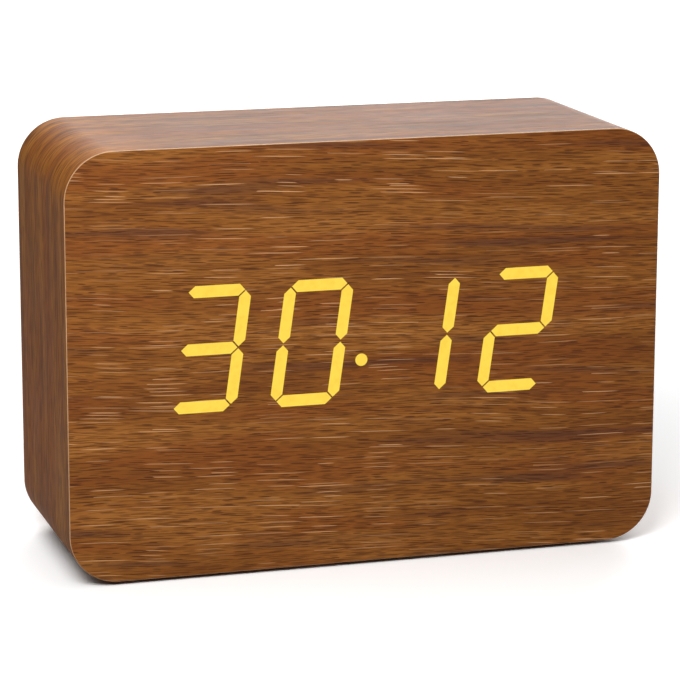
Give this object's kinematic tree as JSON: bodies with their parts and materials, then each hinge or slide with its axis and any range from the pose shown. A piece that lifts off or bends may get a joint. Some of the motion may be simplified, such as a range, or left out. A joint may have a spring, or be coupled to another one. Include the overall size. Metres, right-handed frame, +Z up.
{
  "type": "desk clock with calendar",
  "caption": "Rounded wood-look block clock with slanted glowing digits behind the front sheet showing a date; rear cover with push buttons, power socket and battery door.",
  "frame": {"origin": "on the table, under the middle of the block", "axes": "+Z up, the display faces -Y, +X to the right of a person who reads it"},
  "size_m": [0.15, 0.0564, 0.106],
  "materials": {
    "walnut_foil": "printed walnut-look sheet, satin",
    "walnut_edge": "printed walnut-look strip, satin",
    "fibreboard": "raw fibreboard",
    "cover_plastic": "fine spark-eroded texture",
    "button_plastic": "satin",
    "foot_rubber": "matt",
    "reflector_plastic": "moulded",
    "lit_resin": "amber, lit",
    "dark_resin": "milky, unlit",
    "lamp_chip": "lamp chip",
    "circuit_board": "solder mask",
    "chip_epoxy": "moulded epoxy",
    "bright_metal": "nickel plated",
    "capacitor_sleeve": "shrink sleeve",
    "switch_plastic": "moulded",
    "buzzer_plastic": "moulded",
    "socket_plastic": "moulded",
    "ribbon_jacket": "soft sheath",
    "ribbon_socket_nylon": "nylon",
    "cell_wrap": "plain wrap",
    "contact_metal": "nickel plated spring steel",
    "screw_steel": "blackened steel"
  },
  "bodies": {
    "clock_case": {"front_foil": "walnut_foil", "rear_foil": "walnut_foil", "edge_band": "walnut_edge", "case_ring": "fibreboard", "front_board": "fibreboard", "rear_cover": "cover_plastic", "foot_front_left": "foot_rubber", "foot_front_right": "foot_rubber", "foot_rear_left": "foot_rubber", "foot_rear_right": "foot_rubber", "display_reflector": "reflector_plastic", "digit_1_lit_bars": "lit_resin", "digit_2_lit_bars": "lit_resin", "digit_3_lit_bars": "lit_resin", "digit_4_lit_bars": "lit_resin", "lower_dot": "lit_resin", "digit_1_dark_bars": "dark_resin", "digit_2_dark_bars": "dark_resin", "digit_3_dark_bars": "dark_resin", "digit_4_dark_bars": "dark_resin", "upper_dot": "dark_resin", "lamp_chips": "lamp_chip", "display_board": "circuit_board", "control_board": "circuit_board", "clock_chip": "chip_epoxy", "driver_chip": "chip_epoxy", "clock_crystal": "bright_metal", "power_socket_pin": "bright_metal", "power_socket_spring": "bright_metal", "filter_capacitor": "capacitor_sleeve", "set_switch": "switch_plastic", "up_switch": "switch_plastic", "down_switch": "switch_plastic", "alarm_buzzer": "buzzer_plastic", "power_socket": "socket_plastic", "ribbon_cable": "ribbon_jacket", "display_ribbon_socket": "ribbon_socket_nylon", "control_ribbon_socket": "ribbon_socket_nylon", "battery_cell_1": "cell_wrap", "battery_cell_2": "cell_wrap", "battery_cell_3": "cell_wrap", "positive_contact": "contact_metal", "negative_contact": "contact_metal", "lower_link_contact": "contact_metal", "upper_link_contact": "contact_metal", "rear_cover_screws": "screw_steel", "display_board_screws": "screw_steel", "control_board_screws": "screw_steel"},
    "set_key": {"set_button": "button_plastic", "set_plunger": "switch_plastic"},
    "up_key": {"up_button": "button_plastic", "up_plunger": "switch_plastic"},
    "down_key": {"down_button": "button_plastic", "down_plunger": "switch_plastic"},
    "battery_lid": {"battery_door": "cover_plastic"}
  },
  "joints": [
    {"name": "set_button_press", "type": "slide", "parent": "clock_case", "child": "set_key", "axis": [0, -1, 0], "range_m": [0, 0.0006], "stiffness_N_per_m": 2500, "springref_m": -0.0002},
    {"name": "up_button_press", "type": "slide", "parent": "clock_case", "child": "up_key", "axis": [0, -1, 0], "range_m": [0, 0.0006], "stiffness_N_per_m": 2500, "springref_m": -0.0002},
    {"name": "down_button_press", "type": "slide", "parent": "clock_case", "child": "down_key", "axis": [0, -1, 0], "range_m": [0, 0.0006], "stiffness_N_per_m": 2500, "springref_m": -0.0002},
    {"name": "battery_door_tilt", "type": "hinge", "parent": "clock_case", "child": "battery_lid", "pos_m": [0, 0.02675, 0.0166], "axis": [-1, 0, 0], "range_deg": [0, 30]}
  ]
}
